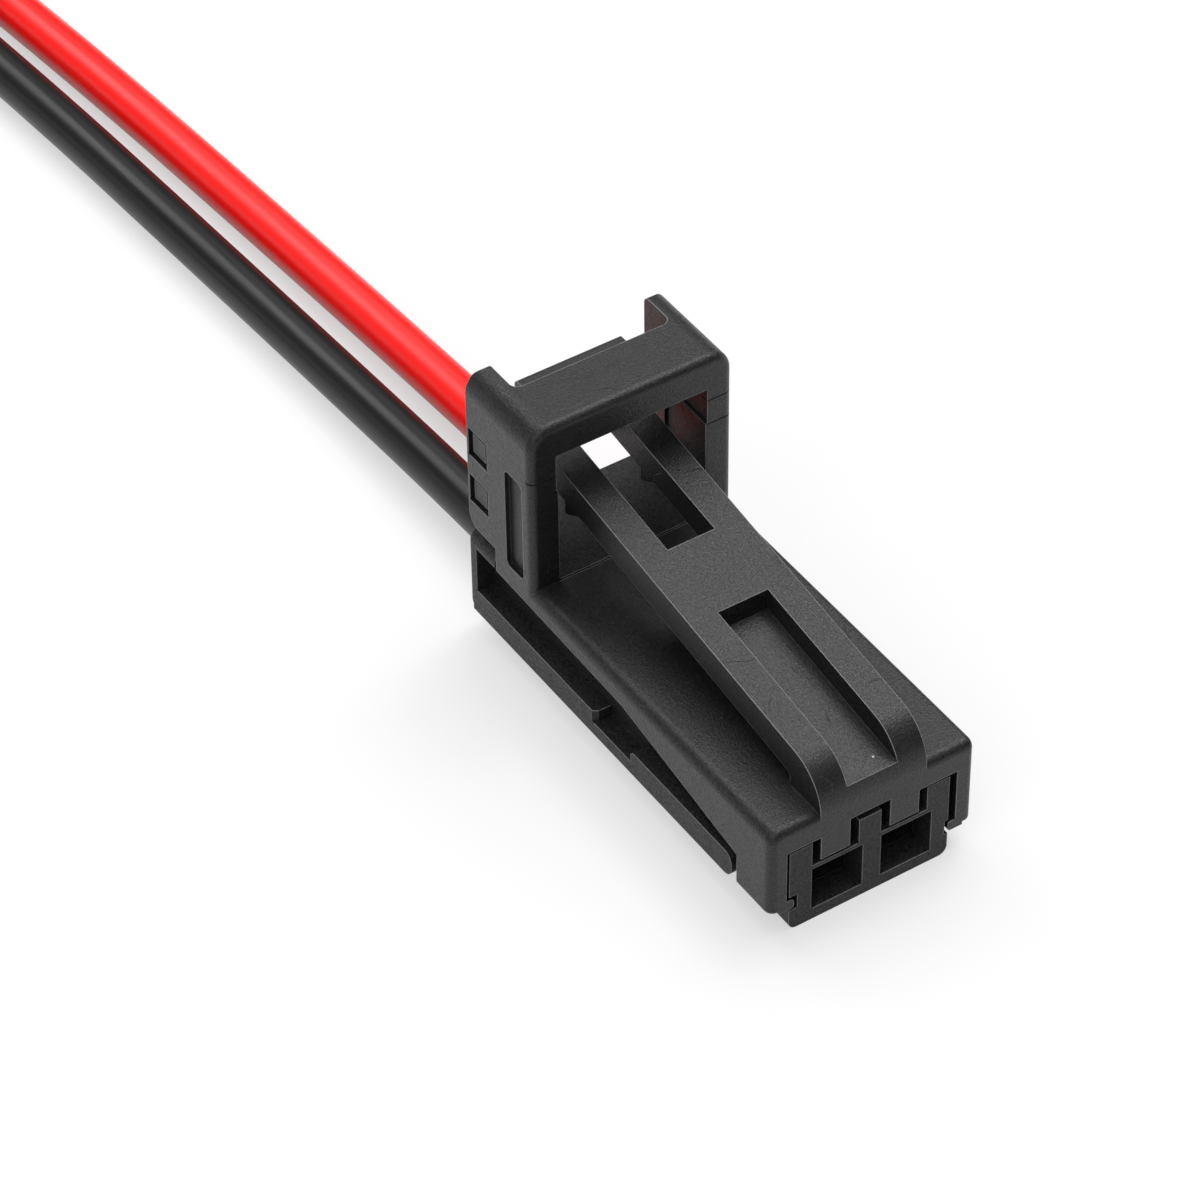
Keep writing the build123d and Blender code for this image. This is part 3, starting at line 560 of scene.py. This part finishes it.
class PLUG_OT_leads(bpy.types.Operator):
    """Lay the red and the black lead with their strands"""

    bl_idname = "plug.leads"
    bl_label = "Lay the leads"

    def execute(self, context):
        look = context.scene.plug_finishes
        sizes = context.scene.plug_leads
        strands = plated_metal("strand_copper_tinned", linear("#cfc9c0"), roughness=0.30,
                               streak=0.05 * MM)
        red_vinyl = extruded_vinyl("red_vinyl_extruded", tuple(look.red_colour), roughness=0.34,
                                   shine=0.45)
        black_vinyl = extruded_vinyl("black_vinyl_extruded", tuple(look.black_colour), roughness=0.32,
                                     shine=0.32)
        leads = [("red", RED_ROUTE, RED_END, CONTACT_SIDE, red_vinyl),
                 ("black", BLACK_ROUTE, BLACK_END, -CONTACT_SIDE, black_vinyl)]
        for colour, route, end, side, vinyl in leads:
            bare = [(CORE_START, side, LEAD_EXIT_HEIGHT), *route, end]
            covered = [(JACKET_START, side, LEAD_EXIT_HEIGHT), *route,
                       towards(end, route[-1], STRIP_LENGTH)]
            core = strand_bundle(colour + "_strands", bare, sizes, strands)
            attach(core, "root")
            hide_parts(colour + "_wire_core")
            jacket = route_curve(colour + "_jacket", covered, sizes.jacket_diameter)
            jacket.data.materials.append(vinyl)
            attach(jacket, "root")
            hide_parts(colour + "_wire_insulation")
        return {"FINISHED"}


def area_lamp(name, place, width, height, power):
    """Soft box of this width and height that faces the plug."""
    data = bpy.data.lights.new(name, "AREA")
    data.shape = "RECTANGLE"
    data.size = width
    data.size_y = height
    data.energy = power
    lamp = bpy.data.objects.new(name, data)
    lamp.location = place
    lamp.rotation_euler = (Vector(LAMP_TARGET) - Vector(place)).to_track_quat("-Z", "Y").to_euler()
    bpy.context.scene.collection.objects.link(lamp)


def backdrop_paper():
    """White paper: it takes the shadow, and what the camera and reflections see of it glows white."""
    material, tree, output = new_material("backdrop_paper_white")
    sheet = node(tree, "ShaderNodeBsdfDiffuse", {"Color": (*linear("#a2a2a2"), 1)})
    glow = node(tree, "ShaderNodeEmission", {"Color": (1, 1, 1, 1), "Strength": PAPER_GLOW})
    path = node(tree, "ShaderNodeLightPath")
    seen = node(tree, "ShaderNodeMath", {0: path.outputs["Is Camera Ray"],
                                         1: path.outputs["Is Glossy Ray"]}, operation="MAXIMUM")
    eye = node(tree, "ShaderNodeMath", {0: seen.outputs[0], 1: path.outputs["Is Transmission Ray"]},
               operation="MAXIMUM")
    dark = node(tree, "ShaderNodeEmission", {"Strength": 0.0})
    chosen = node(tree, "ShaderNodeMixShader", {0: eye.outputs[0], 1: dark.outputs[0],
                                                2: glow.outputs[0]})
    both = node(tree, "ShaderNodeAddShader", {0: sheet.outputs[0], 1: chosen.outputs[0]})
    tree.links.new(both.outputs[0], output.inputs[0])
    return material


def lay_paper_floor():
    """Flat sheet of paper that the plug lies on."""
    mesh = bpy.data.meshes.new("paper_floor")
    corners = [(-FLOOR_HALF, -FLOOR_HALF, 0), (FLOOR_HALF, -FLOOR_HALF, 0),
               (FLOOR_HALF, FLOOR_HALF, 0), (-FLOOR_HALF, FLOOR_HALF, 0)]
    mesh.from_pydata(corners, [], [(0, 1, 2, 3)])
    mesh.materials.append(backdrop_paper())
    floor = bpy.data.objects.new("paper_floor", mesh)
    bpy.context.scene.collection.objects.link(floor)


def white_room():
    """Surroundings that are bright overhead and dark towards the horizon, as under a large soft box."""
    world = bpy.data.worlds.new("white_room")
    world.use_nodes = True
    tree = world.node_tree
    tree.nodes.clear()
    around = node(tree, "ShaderNodeTexCoord")
    way = node(tree, "ShaderNodeSeparateXYZ", {0: around.outputs["Generated"]})
    above = node(tree, "ShaderNodeMath", {0: way.outputs["Z"], 1: 0.0}, operation="MAXIMUM")
    curve = node(tree, "ShaderNodeMath", {0: above.outputs[0], 1: SKY_FALL}, operation="POWER")
    level = node(tree, "ShaderNodeMapRange", {"Value": curve.outputs[0], "To Min": HORIZON_LEVEL,
                                              "To Max": ZENITH_LEVEL})
    sky = node(tree, "ShaderNodeBackground", {"Color": (1, 1, 1, 1), "Strength": level.outputs[0]})
    output = node(tree, "ShaderNodeOutputWorld")
    tree.links.new(sky.outputs[0], output.inputs[0])
    return world


def photo_camera():
    """Camera that stands where the photograph was taken from."""
    data = bpy.data.cameras.new("photo_camera")
    data.sensor_width = SENSOR_WIDTH
    data.lens = CAMERA_LENS
    data.clip_start = CAMERA_NEAR_CLIP
    camera = bpy.data.objects.new("photo_camera", data)
    azimuth = math.radians(CAMERA_AZIMUTH)
    elevation = math.radians(CAMERA_ELEVATION)
    back = Vector((math.sin(azimuth) * math.cos(elevation), -math.cos(azimuth) * math.cos(elevation),
                   math.sin(elevation)))
    right = Vector((math.cos(azimuth), math.sin(azimuth), 0))
    upright = Matrix((right, back.cross(right), back)).transposed()
    turned = upright @ Matrix.Rotation(math.radians(CAMERA_ROLL), 3, "Z")
    camera.matrix_world = Matrix.Translation(CAMERA_PLACE) @ turned.to_4x4()
    bpy.context.scene.collection.objects.link(camera)
    return camera


class PLUG_OT_stage(bpy.types.Operator):
    """Set the floor, the lamps, the white surroundings and the camera"""

    bl_idname = "plug.stage"
    bl_label = "Set the stage"

    def execute(self, context):
        scene = context.scene
        scene.view_settings.view_transform = "Standard"
        lay_paper_floor()
        for name, place, width, height, power in LAMPS:
            area_lamp(name, place, width, height, power)
        scene.world = white_room()
        scene.camera = photo_camera()
        return {"FINISHED"}


class PLUG_PT_panel(bpy.types.Panel):
    """Sidebar panel that lists the plug's steps and settings"""

    bl_idname = "PLUG_PT_panel"
    bl_label = "Prewired plug"
    bl_space_type = "VIEW_3D"
    bl_region_type = "UI"
    bl_category = "Plug"

    def draw(self, context):
        look = context.scene.plug_finishes
        sizes = context.scene.plug_leads
        for key in ("shell_colour", "carrier_colour", "red_colour", "black_colour", "grain",
                    "edge_round"):
            self.layout.prop(look, key)
        for key in ("jacket_diameter", "core_diameter", "bare_diameter", "strand_rings", "lay_length"):
            self.layout.prop(sizes, key)
        for step in STEPS:
            self.layout.operator(step.bl_idname)


STEPS = (PLUG_OT_housing, PLUG_OT_contacts, PLUG_OT_leads, PLUG_OT_stage)
CLASSES = (PlugFinishes, PlugLeads, *STEPS, PLUG_PT_panel)


def register():
    for item in CLASSES:
        bpy.utils.register_class(item)
    bpy.types.Scene.plug_finishes = PointerProperty(type=PlugFinishes)
    bpy.types.Scene.plug_leads = PointerProperty(type=PlugLeads)


def unregister():
    del bpy.types.Scene.plug_finishes
    del bpy.types.Scene.plug_leads
    for item in reversed(CLASSES):
        bpy.utils.unregister_class(item)


def main():
    register()
    bpy.ops.plug.stage()
    bpy.ops.plug.leads()
    bpy.ops.plug.housing()
    bpy.ops.plug.contacts()


if __name__ == "__main__":
    main()
